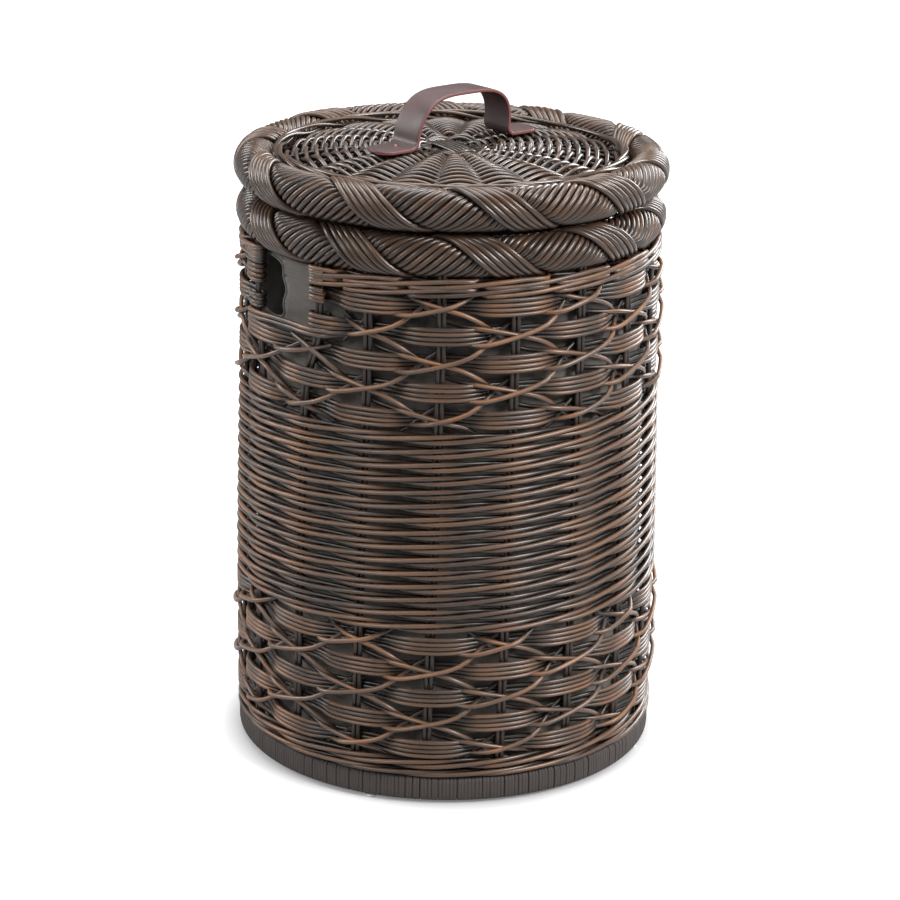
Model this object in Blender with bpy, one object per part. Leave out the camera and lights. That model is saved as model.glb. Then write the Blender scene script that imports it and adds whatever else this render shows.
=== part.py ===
"""Round woven laundry basket with a lift-off lid.

The basket stands on a wrapped cane hoop.  Eighteen pairs of stakes rise from the
hoop through bands of weaving to a thick rolled border, a cloth liner hangs
inside, and the lid has its own rolled border, a woven disc and a leather strap.
Metres, +Z up, the origin is on the ground under the middle of the basket.
"""
import math

import bmesh
import bpy
from mathutils import Matrix, Vector

# Driving dimensions
GAP = 0.0003
RING_STEPS = 40

WALL_RADIUS_TOP = 0.2108
WALL_RADIUS_LOW = 0.2158
WALL_SPREAD_TOP = 0.500
WALL_SPREAD_HEIGHT = 0.320

GLIDE_HEIGHT = 0.0022
GLIDE_RADIUS = 0.006
FOOT_RADIUS = 0.2145
FOOT_WIDTH = 0.016
FOOT_TOP = 0.0285
FOOT_WRAP = 0.002
LOWER_WALE_TOP = 0.0467
LOWER_BAND_TOP = 0.1790
MIDDLE_WALE_TOP = 0.3835
UPPER_BAND_TOP = 0.5175
UPPER_WALE_TOP = 0.5280

STAKE_PAIRS = 18
STAKE_WIDTH = 0.0105
STAKE_DEPTH = 0.0045
STAKE_INSET = 0.0075
STAKE_LEVELS = (0.40, 0.44, 0.48)
WEAVE_BACK = 0.0040

HOLE_HALF_ANGLE = math.radians(12.5)
HOLE_BOTTOM = 0.4705
BORDER_SPREAD = math.radians(3.5)

BODY_RIM_RADIUS = 0.1935
BODY_RIM_HALF_WIDTH = 0.0210
BODY_RIM_BOTTOM = 0.5285
BODY_RIM_TOP = 0.5732
LID_RIM_RADIUS = 0.1950
LID_RIM_HALF_WIDTH = 0.0213
LID_RIM_BOTTOM = 0.5738
LID_RIM_TOP = 0.6192
RIM_WALL = 0.0075
RIM_SLIT = math.radians(22.0)
RIM_SIDES = 7

BAR_WIDTH = 0.012
BAR_HEIGHT = 0.008
BAR_BOTTOM = 0.0120
BASE_BOTTOM = 0.0288
BASE_THICKNESS = 0.0080

LINER_RADIUS = 0.1945
LINER_CLOTH = 0.0016
LINER_TOP = 0.5275
LINER_TURN = math.radians(-14.0)
SLOT_HALF_ANGLE = math.radians(12.0)
SLOT_HEIGHT = 0.495
SLOT_HALF_HEIGHT = 0.028

LID_TURN = math.radians(-8.0)
STRAP_TURN = math.radians(2.0)
DISC_TOP = 0.6195
DISC_FLAT_RADIUS = 0.088
DISC_RADIUS = 0.1732
DISC_DROP = 0.0135
DISC_THICKNESS = 0.0080
SPOKES = 10
SPOKE_HUB = 0.022
SPOKE_WIDTH = 0.0050
SPOKE_DEPTH = 0.0045
SPOKE_END = 0.1715
SPOKE_CLEARANCE = 0.0010
LOCATOR_OUTER = 0.1695
LOCATOR_INNER = 0.1635
LOCATOR_BOTTOM = 0.5600

STRAP_WIDTH = 0.038
STRAP_THICKNESS = 0.0035
STRAP_TOP = 0.6720
STRAP_LEG = 0.0580
STRAP_TAB_END = 0.1000
STRAP_BEND = 0.0085
STRAP_STEPS = 14
RIVET_PLACE = 0.0715
RIVET_HEAD_RADIUS = 0.0042
RIVET_HEAD_HEIGHT = 0.0018
RIVET_SHANK_RADIUS = 0.0020
RIVET_CLEARANCE = 0.0004


def clear_scene():
    for old in list(bpy.data.objects):
        bpy.data.objects.remove(old, do_unlink=True)


def make_material(name, colour, roughness, metallic=0.0):
    material = bpy.data.materials.new(name)
    material.use_nodes = True
    shader = material.node_tree.nodes["Principled BSDF"]
    shader.inputs["Base Color"].default_value = (*colour, 1.0)
    shader.inputs["Roughness"].default_value = roughness
    shader.inputs["Metallic"].default_value = metallic
    return material


def add_object(name, bm, material, parent=None, turn=0.0):
    """Makes a smooth-shaded object from a closed bmesh."""
    bmesh.ops.recalc_face_normals(bm, faces=bm.faces)
    mesh = bpy.data.meshes.new(name)
    bm.to_mesh(mesh)
    bm.free()
    mesh.shade_smooth()
    mesh.set_sharp_from_angle(angle=math.radians(40.0))
    mesh.materials.append(material)
    obj = bpy.data.objects.new(name, mesh)
    obj.rotation_euler = (0.0, 0.0, turn)
    obj.parent = parent
    bpy.context.scene.collection.objects.link(obj)
    return obj


def smooth_step(value):
    value = min(max(value, 0.0), 1.0)
    return value * value * (3.0 - 2.0 * value)


def wall_radius(height):
    """Outer radius of the weaving, which widens a little towards the ground."""
    spread = smooth_step((WALL_SPREAD_TOP - height) / WALL_SPREAD_HEIGHT)
    return WALL_RADIUS_TOP + (WALL_RADIUS_LOW - WALL_RADIUS_TOP) * spread


def disc_top(radius):
    """Height of the lid's woven disc: level in the middle, falling to its edge."""
    fall = max(radius - DISC_FLAT_RADIUS, 0.0) / (DISC_RADIUS - DISC_FLAT_RADIUS)
    return DISC_TOP - DISC_DROP * fall * fall


def polar(radius, angle, height):
    return Vector((radius * math.cos(angle), radius * math.sin(angle), height))


def bridge(bm, first, second):
    """Joins two rings of the same number of vertices with quads."""
    count = len(first)
    for i in range(count):
        j = (i + 1) % count
        bm.faces.new((first[i], first[j], second[j], second[i]))


def turned(profile, start=0.0, end=math.tau, steps=RING_STEPS):
    """Turns a closed profile of (radius, height) about Z, all round or as an arc."""
    bm = bmesh.new()
    whole = end - start > math.tau - 1e-6
    stations = steps if whole else steps + 1
    rings = []
    for k in range(stations):
        angle = start + (end - start) * k / steps
        rings.append([bm.verts.new(polar(r, angle, z)) for r, z in profile])
    for first, second in zip(rings, rings[1:]):
        bridge(bm, first, second)
    if whole:
        bridge(bm, rings[-1], rings[0])
    else:
        bm.faces.new(rings[0])
        bm.faces.new(list(reversed(rings[-1])))
    return bm


def turned_solid(rims, steps=RING_STEPS):
    """Turns rims of (radius, height) about Z and closes both ends at the axis."""
    bm = bmesh.new()
    rings = []
    for radius, height in rims:
        rings.append([bm.verts.new(polar(radius, math.tau * k / steps, height)) for k in range(steps)])
    for first, second in zip(rings, rings[1:]):
        bridge(bm, first, second)
    bm.faces.new(rings[0])
    bm.faces.new(list(reversed(rings[-1])))
    return bm


def box(size, centre):
    bm = bmesh.new()
    bmesh.ops.create_cube(bm, size=1.0)
    bmesh.ops.scale(bm, vec=size, verts=bm.verts)
    bmesh.ops.translate(bm, vec=centre, verts=bm.verts)
    return bm


def swept(sections):
    """Joins a row of equal outlines into one bar with closed ends."""
    bm = bmesh.new()
    rings = [[bm.verts.new(point) for point in section] for section in sections]
    for first, second in zip(rings, rings[1:]):
        bridge(bm, first, second)
    bm.faces.new(rings[0])
    bm.faces.new(list(reversed(rings[-1])))
    return bm


def cut(obj, cutter):
    """Subtracts a hidden cutter from an object."""
    cutter.hide_render = True
    cutter.display_type = "WIRE"
    modifier = obj.modifiers.new("cut", "BOOLEAN")
    modifier.operation = "DIFFERENCE"
    modifier.solver = "EXACT"
    modifier.object = cutter


def side_cutter(name, bm, obj, turn=0.0):
    """A hidden cutter for one side opening."""
    material = obj.data.materials[0]
    cut(obj, add_object(name, bm, material, parent=obj.parent, turn=turn))


def build_foot(materials):
    glide_place = FOOT_RADIUS - FOOT_WIDTH / 2
    for k in range(4):
        bm = turned_solid([(GLIDE_RADIUS, 0.0), (GLIDE_RADIUS, GLIDE_HEIGHT)], steps=16)
        glide = add_object(f"foot_glide_{k + 1}", bm, materials["clear_plastic"])
        glide.location = polar(glide_place, math.radians(32.0 + 90.0 * k), 0.0)
    low = GLIDE_HEIGHT + GAP
    high = FOOT_TOP
    inner = FOOT_RADIUS - FOOT_WIDTH
    edge = 0.004
    slit = 0.003
    middle = (low + high) / 2
    wall = FOOT_WRAP
    wrap = [
        (inner, middle - slit), (inner, low + edge), (inner + edge, low), (FOOT_RADIUS - edge, low),
        (FOOT_RADIUS, low + edge), (FOOT_RADIUS, high - edge), (FOOT_RADIUS - edge, high),
        (inner + edge, high), (inner, high - edge), (inner, middle + slit),
        (inner + wall, middle + slit), (inner + wall, high - edge), (inner + edge, high - wall),
        (FOOT_RADIUS - edge, high - wall), (FOOT_RADIUS - wall, high - edge),
        (FOOT_RADIUS - wall, low + edge), (FOOT_RADIUS - edge, low + wall), (inner + edge, low + wall),
        (inner + wall, low + edge), (inner + wall, middle - slit),
    ]
    add_object("foot_hoop_wrap", turned(wrap), materials["foot_peel"])
    room = wall + GAP
    core = [
        (inner + room, low + edge), (inner + edge, low + room), (FOOT_RADIUS - edge, low + room),
        (FOOT_RADIUS - room, low + edge), (FOOT_RADIUS - room, high - edge),
        (FOOT_RADIUS - edge, high - room), (inner + edge, high - room), (inner + room, high - edge),
    ]
    add_object("foot_hoop_core", turned(core), materials["bare_cane"])


def build_base(materials):
    length = 2 * (FOOT_RADIUS - FOOT_WIDTH - 0.0015)
    lower = (0.0, 0.0, BAR_BOTTOM + BAR_HEIGHT / 2)
    upper = (0.0, 0.0, BAR_BOTTOM + 1.5 * BAR_HEIGHT + GAP)
    add_object("base_bar_lower", box((length, BAR_WIDTH, BAR_HEIGHT), lower), materials["bare_cane"])
    add_object("base_bar_upper", box((BAR_WIDTH, length, BAR_HEIGHT), upper), materials["bare_cane"])
    radius = wall_radius(BASE_BOTTOM) - STAKE_INSET - STAKE_DEPTH / 2 - GAP * 2
    rims = [(radius, BASE_BOTTOM), (radius, BASE_BOTTOM + BASE_THICKNESS)]
    add_object("base_weave", turned_solid(rims), materials["dark_cane"])


def stake_shift(angle, height):
    """The stakes beside a hand hole are pushed apart at the height of the hole."""
    beside_hole = abs(abs(math.cos(angle)) - math.cos(math.radians(10.0))) < 1e-4
    if not beside_hole:
        return 0.0
    away = 1.0 if math.sin(angle) * math.cos(angle) > 0.0 else -1.0
    first, last = STAKE_LEVELS[0], STAKE_LEVELS[-1]
    return away * BORDER_SPREAD * smooth_step((height - first) / (last - first))


def stake_outline(angle, height):
    """Six-sided outline of a pair of rods side by side, level at one height."""
    middle = wall_radius(height) - STAKE_INSET
    half_width = STAKE_WIDTH / 2
    half_depth = STAKE_DEPTH / 2
    flat = half_width - half_depth
    corners = [
        (-half_depth, -flat), (0.0, -half_width), (half_depth, -flat),
        (half_depth, flat), (0.0, half_width), (-half_depth, flat),
    ]
    shift = stake_shift(angle, height)
    turn = Matrix.Rotation(shift, 3, "Z")
    return [turn @ Vector((middle + outward, sideways, height)) for outward, sideways in corners]


def build_stakes(materials):
    levels = (FOOT_TOP + GAP, 0.18, 0.27, 0.35, *STAKE_LEVELS, UPPER_WALE_TOP)
    for k in range(STAKE_PAIRS):
        angle = math.radians(10.0) + math.tau * k / STAKE_PAIRS
        bm = swept([stake_outline(angle, height) for height in levels])
        add_object(f"stake_pair_{k + 1:02d}", bm, materials["dark_cane"], turn=angle)


def weave_profile(bottom, top, levels):
    """Section of one band of weaving, from its outer face back to the stakes."""
    heights = [bottom + (top - bottom) * k / levels for k in range(levels + 1)]
    outer = [(wall_radius(h), h) for h in heights]
    inner = [(wall_radius(h) - WEAVE_BACK, h) for h in heights]
    return outer + list(reversed(inner))


def build_weave(materials):
    cane = materials["woven_cane"]
    lower_wale = weave_profile(FOOT_TOP + GAP, LOWER_WALE_TOP, 1)
    add_object("lower_wale", turned(lower_wale), cane)
    lower_band = weave_profile(LOWER_WALE_TOP + GAP, LOWER_BAND_TOP, 2)
    add_object("lower_lattice_band", turned(lower_band), cane)
    middle = weave_profile(LOWER_BAND_TOP + GAP, MIDDLE_WALE_TOP, 4)
    add_object("middle_wale", turned(middle), cane)
    upper_band = weave_profile(MIDDLE_WALE_TOP + GAP, UPPER_BAND_TOP, 2)
    upper = add_object("upper_lattice_band", turned(upper_band), cane)
    half = WALL_RADIUS_TOP * math.sin(HOLE_HALF_ANGLE)
    top = UPPER_BAND_TOP + 0.02
    size = (0.06, 2 * half, top - HOLE_BOTTOM)
    for side, name in ((1.0, "right"), (-1.0, "left")):
        centre = (side * WALL_RADIUS_TOP, 0.0, (top + HOLE_BOTTOM) / 2)
        side_cutter(f"hand_hole_{name}_cutter", box(size, centre), upper)
    wale = weave_profile(UPPER_BAND_TOP + GAP, UPPER_WALE_TOP, 1)
    start = HOLE_HALF_ANGLE
    end = math.pi - HOLE_HALF_ANGLE
    rear = turned(wale, start, end, RING_STEPS // 2)
    add_object("upper_wale_rear", rear, cane)
    front = turned(wale, start + math.pi, end + math.pi, RING_STEPS // 2)
    add_object("upper_wale_front", front, cane)


def rim_point(middle, half_width, half_height, angle):
    radius, height = middle
    return (radius + half_width * math.cos(angle), height + half_height * math.sin(angle))


def build_rim(prefix, radius, half_width, bottom, top, materials, parent=None, turn=0.0):
    """A rolled border: a slit tube of braided cane round a bundle of filler rods."""
    middle = (radius, (bottom + top) / 2)
    half_height = (top - bottom) / 2
    start = -math.pi / 2 + RIM_SLIT
    sweep = math.tau - 2 * RIM_SLIT
    angles = [start + sweep * k / (RIM_SIDES + 1) for k in range(RIM_SIDES + 2)]
    outer = [rim_point(middle, half_width, half_height, a) for a in angles]
    inner = [rim_point(middle, half_width - RIM_WALL, half_height - RIM_WALL, a) for a in angles]
    braid = turned(outer + list(reversed(inner)))
    add_object(f"{prefix}_rim_braid", braid, materials["woven_cane"], parent, turn)
    core_size = half_width - RIM_WALL - 0.0015
    core_angles = [math.tau * k / 8 for k in range(8)]
    core = turned([rim_point(middle, core_size, core_size, a) for a in core_angles])
    add_object(f"{prefix}_rim_core", core, materials["bare_cane"], parent, turn)


def slot_cutter_mesh(side):
    """An upright oval prism that cuts one hand slot in the liner."""
    bm = bmesh.new()
    half_width = LINER_RADIUS * math.sin(SLOT_HALF_ANGLE)
    rings = []
    for depth in (LINER_RADIUS - 0.03, LINER_RADIUS + 0.03):
        ring = []
        for k in range(16):
            angle = math.tau * k / 16
            across = half_width * math.cos(angle)
            height = SLOT_HEIGHT + SLOT_HALF_HEIGHT * math.sin(angle)
            ring.append(bm.verts.new((side * depth, across, height)))
        rings.append(ring)
    bridge(bm, rings[0], rings[1])
    bm.faces.new(rings[0])
    bm.faces.new(list(reversed(rings[1])))
    return bm


def build_liner(materials):
    low = BASE_BOTTOM + BASE_THICKNESS + GAP
    inner = LINER_RADIUS - LINER_CLOTH
    base = [(LINER_RADIUS, low), (LINER_RADIUS, low + LINER_CLOTH)]
    add_object("liner_base", turned_solid(base), materials["cloth"])
    start = low + LINER_CLOTH + GAP
    profile = [(LINER_RADIUS, start), (LINER_RADIUS, LINER_TOP), (inner, LINER_TOP), (inner, start)]
    side = add_object("liner_side", turned(profile), materials["cloth"])
    for direction, name in ((1.0, "right"), (-1.0, "left")):
        side_cutter(f"liner_slot_{name}_cutter", slot_cutter_mesh(direction), side, LINER_TURN)


def spoke_top(radius):
    return disc_top(radius) - DISC_THICKNESS - SPOKE_CLEARANCE


def spoke_outline(spread):
    """Plan outline of a rod bent double: hub end, two legs and the crotch between."""
    radii = (SPOKE_HUB, 0.090, 0.130, SPOKE_END)
    half = SPOKE_WIDTH / 2
    far_left = [polar(r, spread + half / r, 0.0) for r in radii]
    far_right = [Vector((p.x, -p.y, 0.0)) for p in far_left]
    near_left = [polar(r, spread - half / r, 0.0) for r in radii[1:]]
    near_right = [Vector((p.x, -p.y, 0.0)) for p in near_left]
    crotch = Vector((SPOKE_HUB * 2, 0.0, 0.0))
    outline = far_left[::-1] + far_right + near_right[::-1] + [crotch] + near_left
    legs = len(radii)
    first_near_right = 3 * legs - 2
    crotch_index = first_near_right + 1
    patches = [(legs - 1, legs, crotch_index)]
    left = [(legs - 2 - k, crotch_index + 1 + k) for k in range(legs - 1)]
    right = [(legs + 1 + k, first_near_right - k) for k in range(legs - 1)]
    patches.append((legs - 1, crotch_index, left[0][1], left[0][0]))
    patches.append((legs, right[0][0], right[0][1], crotch_index))
    for rails in (left, right):
        for (a, b), (c, d) in zip(rails, rails[1:]):
            patches.append((a, b, d, c))
    return outline, patches


def build_spokes(materials, parent):
    """Each spoke is one rod bent double, its two legs half a spoke pitch apart."""
    outline, patches = spoke_outline(math.tau / SPOKES / 4)
    for k in range(SPOKES):
        bm = bmesh.new()
        top = [bm.verts.new((p.x, p.y, spoke_top(p.length))) for p in outline]
        low = [bm.verts.new(v.co - Vector((0.0, 0.0, SPOKE_DEPTH))) for v in top]
        bridge(bm, top, low)
        for patch in patches:
            bm.faces.new([top[i] for i in patch])
            bm.faces.new([low[i] for i in reversed(patch)])
        turn = LID_TURN + math.tau * k / SPOKES
        add_object(f"lid_spoke_{k + 1:02d}", bm, materials["dark_cane"], parent, turn)


def strap_path():
    """Centre line of the strap: tab, bend, leg, arch and back down, as (x, z)."""
    low = DISC_TOP + GAP + STRAP_THICKNESS / 2
    top = STRAP_TOP - STRAP_THICKNESS / 2
    bend_top = low + STRAP_BEND
    points = [(STRAP_TAB_END, low), (STRAP_LEG + STRAP_BEND, low)]
    for k in range(1, 4):
        angle = math.pi / 2 * k / 4
        x = STRAP_LEG + STRAP_BEND - STRAP_BEND * math.sin(angle)
        z = low + STRAP_BEND - STRAP_BEND * math.cos(angle)
        points.append((x, z))
    for k in range(STRAP_STEPS // 2 + 1):
        angle = math.pi / 2 * k / (STRAP_STEPS // 2)
        x = STRAP_LEG * math.cos(angle) ** 0.72
        z = bend_top + (top - bend_top) * math.sin(angle) ** 0.95
        points.append((x, z))
    mirrored = [(-x, z) for x, z in reversed(points[:-1])]
    return points + mirrored


def strap_sections():
    path = [Vector((x, 0.0, z)) for x, z in strap_path()]
    sections = []
    for i, point in enumerate(path):
        before = path[max(i - 1, 0)]
        after = path[min(i + 1, len(path) - 1)]
        along = (after - before).normalized()
        normal = Vector((-along.z, 0.0, along.x)) * STRAP_THICKNESS / 2
        across = Vector((0.0, STRAP_WIDTH / 2, 0.0))
        sections.append([point + normal + across, point + normal - across,
                         point - normal - across, point - normal + across])
    return sections


def build_handle(materials, parent):
    strap = add_object("handle_strap", swept(strap_sections()), materials["leather"], parent, STRAP_TURN)
    low = DISC_TOP + GAP
    tab_top = low + STRAP_THICKNESS
    hole = RIVET_SHANK_RADIUS + RIVET_CLEARANCE
    head = tab_top + GAP
    rims = [
        (RIVET_SHANK_RADIUS, low), (RIVET_SHANK_RADIUS, head), (RIVET_HEAD_RADIUS, head),
        (RIVET_HEAD_RADIUS * 0.8, head + RIVET_HEAD_HEIGHT * 0.8),
        (RIVET_HEAD_RADIUS * 0.35, head + RIVET_HEAD_HEIGHT),
    ]
    turn = Matrix.Rotation(STRAP_TURN, 3, "Z")
    for side, name in ((1.0, "right"), (-1.0, "left")):
        place = turn @ Vector((side * RIVET_PLACE, 0.0, 0.0))
        cutter = add_object(f"rivet_hole_{name}_cutter", turned_solid(
            [(hole, low - 0.003), (hole, tab_top + 0.003)], steps=12), materials["leather"], parent)
        cutter.location = place
        cut(strap, cutter)
        rivet = add_object(f"handle_rivet_{name}", turned_solid(rims, steps=12), materials["brass"], parent)
        rivet.location = place


def build_lid_disc(materials, parent):
    radii = (0.120, 0.148, DISC_RADIUS)
    upper = [(DISC_FLAT_RADIUS, DISC_TOP)] + [(r, disc_top(r)) for r in radii]
    lower = [(r, z - DISC_THICKNESS) for r, z in upper]
    disc = turned_solid(upper + list(reversed(lower)))
    add_object("lid_weave", disc, materials["woven_cane"], parent, LID_TURN)
    ring_top = spoke_top(LOCATOR_OUTER) - SPOKE_DEPTH - GAP
    locator = [(LOCATOR_INNER, LOCATOR_BOTTOM), (LOCATOR_OUTER, LOCATOR_BOTTOM),
               (LOCATOR_OUTER, ring_top), (LOCATOR_INNER, ring_top)]
    add_object("lid_locating_hoop", turned(locator), materials["bare_cane"], parent, LID_TURN)


def build_lid(materials):
    lid = bpy.data.objects.new("lid_axis", None)
    bpy.context.scene.collection.objects.link(lid)
    build_rim("lid", LID_RIM_RADIUS, LID_RIM_HALF_WIDTH, LID_RIM_BOTTOM, LID_RIM_TOP,
              materials, lid, LID_TURN)
    build_lid_disc(materials, lid)
    build_spokes(materials, lid)
    build_handle(materials, lid)


def make_materials():
    return {
        "woven_cane": make_material("woven_cane", (0.115, 0.085, 0.068), 0.50),
        "dark_cane": make_material("dark_cane", (0.040, 0.032, 0.028), 0.60),
        "bare_cane": make_material("bare_cane", (0.160, 0.110, 0.075), 0.65),
        "foot_peel": make_material("foot_peel", (0.060, 0.047, 0.042), 0.55),
        "cloth": make_material("cloth", (0.120, 0.100, 0.085), 0.90),
        "leather": make_material("leather", (0.095, 0.060, 0.060), 0.55),
        "brass": make_material("brass", (0.180, 0.110, 0.090), 0.40, 1.0),
        "clear_plastic": make_material("clear_plastic", (0.750, 0.750, 0.720), 0.25),
    }


def main():
    clear_scene()
    materials = make_materials()
    build_foot(materials)
    build_base(materials)
    build_stakes(materials)
    build_weave(materials)
    build_rim("body", BODY_RIM_RADIUS, BODY_RIM_HALF_WIDTH, BODY_RIM_BOTTOM, BODY_RIM_TOP, materials)
    build_liner(materials)
    build_lid(materials)


main()
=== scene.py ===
"""A round laundry basket woven in stained cane, with a cloth liner and a lift-off lid with a strap."""

import math
from contextlib import contextmanager

import bmesh
import bpy
import numpy as np
from mathutils import Matrix, Vector


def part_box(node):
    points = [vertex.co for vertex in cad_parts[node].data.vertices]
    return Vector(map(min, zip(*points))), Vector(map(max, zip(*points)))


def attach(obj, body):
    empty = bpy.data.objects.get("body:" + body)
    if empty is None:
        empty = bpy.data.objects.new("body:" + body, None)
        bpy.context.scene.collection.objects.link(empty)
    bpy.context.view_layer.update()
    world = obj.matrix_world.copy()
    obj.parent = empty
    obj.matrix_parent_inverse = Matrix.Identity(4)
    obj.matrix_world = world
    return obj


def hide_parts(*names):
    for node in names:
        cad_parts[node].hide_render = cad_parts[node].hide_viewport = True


bl_info = {
    "name": "Woven cane laundry basket",
    "version": (1, 0, 0),
    "blender": (4, 5, 0),
    "location": "3D View > Sidebar > Basket",
    "description": "Builds a lidded round basket, cane by cane, round its packed frame",
    "category": "Add Mesh",
}

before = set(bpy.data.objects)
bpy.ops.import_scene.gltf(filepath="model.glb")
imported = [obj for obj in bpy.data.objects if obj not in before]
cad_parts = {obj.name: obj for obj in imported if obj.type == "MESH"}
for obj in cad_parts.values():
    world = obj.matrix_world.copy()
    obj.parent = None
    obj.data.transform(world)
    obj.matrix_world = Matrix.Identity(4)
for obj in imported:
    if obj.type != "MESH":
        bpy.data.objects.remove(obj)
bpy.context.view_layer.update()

# Where things are, read from the frame, in metres.
FOOT_LOW, FOOT_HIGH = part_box("foot_hoop_wrap")
BODY_ROLL_LOW, BODY_ROLL_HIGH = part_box("body_rim_braid")
LID_ROLL_LOW, LID_ROLL_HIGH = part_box("lid_rim_braid")
LID_DISC_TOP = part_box("lid_weave")[1].z
LINER_LOW, LINER_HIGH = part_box("liner_side")
LINER_BASE_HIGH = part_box("liner_base")[1]
BASE_LOW, BASE_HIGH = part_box("base_weave")
HOOP_LOW, HOOP_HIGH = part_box("lid_locating_hoop")
STRAP_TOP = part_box("handle_strap")[1].z
WALL_TOP_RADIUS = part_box("upper_wale_rear")[1].y
WALL_LOW_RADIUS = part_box("lower_wale")[1].y

# The stakes stand in pairs, this many round the wall, and every weave counts its way by them.
STAKES = 18
STAKE_PITCH = 360 / STAKES
FIRST_STAKE = 10
STAKE_INSET = 0.0075
STAKE_REACH = 0.0050
HOLE_LEVEL = 0.4705
HOLE_SPREAD = 4.6
SPREAD_FROM, SPREAD_OVER = 0.400, 0.080
STAKE_LEAN, LEAN_FROM = 6.0, 0.460
FLARE_TOP, FLARE_HEIGHT = 0.500, 0.320
LATTICE_ROWS = 5
ROWS_IN_BAND = 4.86
SPOKES = 20
LID_LEVEL_RADIUS = 0.088
LID_ROUNDS_FROM, LID_ROUNDS_TO = 0.0385, 0.1665
LID_EDGE_RADIUS, LID_EDGE_HEIGHT = 0.1715, 0.6095
LID_SPOKE_FROM, LID_SPOKE_TO = 0.0265, 0.1800
LID_TURN = -8
STRAP_TURN = 2
LINER_TURN = -15


def smoothstep(t):
    t = np.clip(t, 0, 1)
    return t * t * (3 - 2 * t)


def wall_radius(z):
    """Outer radius of the weaving at a height: a little wider below than above."""
    rise = smoothstep((FLARE_TOP - np.asarray(z)) / FLARE_HEIGHT)
    return WALL_TOP_RADIUS + (WALL_LOW_RADIUS - WALL_TOP_RADIUS) * rise


def round_axis(radius, degrees, z):
    """Points from a radius, an angle and a height, each a number or an array."""
    a = np.radians(degrees)
    radius, a, z = np.broadcast_arrays(radius, a, z)
    return np.stack([radius * np.cos(a), radius * np.sin(a), z], -1)


def stake_angle(place, z):
    """The angle of a place counted in stakes. Stakes lean a little and bend away from a hand hole."""
    knots = [0, 1, 7, 8, 9, 10, 16, 17, 18]
    shift = np.interp(np.mod(place, STAKES), knots, [1, 0, 0, -1, 1, 0, 0, -1, 1])
    bend = HOLE_SPREAD * smoothstep((np.asarray(z) - SPREAD_FROM) / SPREAD_OVER)
    lean = STAKE_LEAN * (np.minimum(z, LEAN_FROM) - LEAN_FROM)
    return FIRST_STAKE + STAKE_PITCH * np.asarray(place) + bend * shift + lean


def on_wall(place, z, proud):
    """Points on the wall: the place in stakes, the height, and how far in front of the stakes."""
    return round_axis(wall_radius(z) - STAKE_INSET + proud, stake_angle(place, z), z)


class Strand:
    """One cane: its centreline, whether it closes on itself, how light and thick it is, and how hidden it
    is, which its finish paints as shade.
    """

    def __init__(self, points, closed=False, tint=0.5, girth=1.0, depth=0.0):
        self.points = np.asarray(points, float)
        self.closed = closed
        self.tint = tint
        self.girth = girth
        self.depth = np.broadcast_to(np.asarray(depth, float), len(self.points))


# Sizes and colours that a user would change.


def length(name, text, default):
    return bpy.props.FloatProperty(name=name, description=text, default=default, unit="LENGTH", precision=4)


def count(name, text, default):
    return bpy.props.IntProperty(name=name, description=text, default=default, min=1)


def colour(name, text, default):
    return bpy.props.FloatVectorProperty(
        name=name, description=text, default=default, subtype="COLOR", size=3, min=0, max=1
    )


class BasketSizes(bpy.types.PropertyGroup):
    """Cane thicknesses and how many canes and rounds each part of the weaving has."""

    stake_cane: length("Stake cane", "Thickness of one cane of a stake pair", 0.0046)
    wale_cane: length("Wale cane", "Thickness of the canes of the plain rounds", 0.0047)
    row_cane: length("Row cane", "Thickness of the canes that lie side by side in a row", 0.0044)
    cross_cane: length("Crossing cane", "Thickness of the slanting canes over the rows", 0.0047)
    border_cane: length("Border cane", "Thickness of the canes of the rolled borders", 0.0056)
    lid_cane: length("Lid cane", "Thickness of the canes of the lid", 0.0046)
    base_cane: length("Base cane", "Thickness of the canes of the base", 0.0029)
    peel_width: length("Peel width", "Width of the flat peel wound round the foot", 0.0036)
    lid_round_pitch: length("Lid round pitch", "From one round of the lid to the next", 0.0048)
    base_round_pitch: length("Base round pitch", "From one round of the base to the next", 0.0044)
    wale_rounds: count("Wale rounds", "Rounds of plain weaving in the middle of the wall", 15)
    row_canes: count("Canes in a row", "Canes that lie side by side in each row", 4)
    border_bands: count("Border bands", "Bands of canes wound round each rolled border", 10)
    band_canes: count("Canes in a band", "Canes side by side in each band of the border", 6)
    border_fillers: count("Border fillers", "Canes that lie under the bands of the border", 140)


class BasketColours(bpy.types.PropertyGroup):
    """Colours of the cane, the peel, the cloth, the leather and the fixings."""

    cane_dark: colour("Cane, dark", "Darkest stain of the cane", (0.020, 0.014, 0.011))
    cane_mid: colour("Cane, middle", "Usual stain of the cane", (0.098, 0.055, 0.033))
    cane_warm: colour("Cane, warm", "Where the stain is worn to a warm brown", (0.270, 0.115, 0.045))
    cane_grey: colour("Cane, grey", "Where the stain has gone dry and grey", (0.130, 0.108, 0.094))
    peel: colour("Peel", "Flat peel on the foot", (0.036, 0.026, 0.023))
    cloth: colour("Cloth", "Liner", (0.270, 0.245, 0.225))
    leather: colour("Leather", "Face of the strap", (0.068, 0.042, 0.042))
    leather_edge: colour("Leather edge", "Cut edge of the strap", (0.210, 0.080, 0.075))
    metal: colour("Metal", "Fixings of the strap", (0.240, 0.130, 0.100))
    glide: colour("Glide", "Clear glides under the foot", (0.930, 0.930, 0.910))


def sizes():
    return bpy.context.scene.basket_sizes


def colours():
    return bpy.context.scene.basket_colours


def times(share, shade):
    return tuple(share * x for x in shade)


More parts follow.
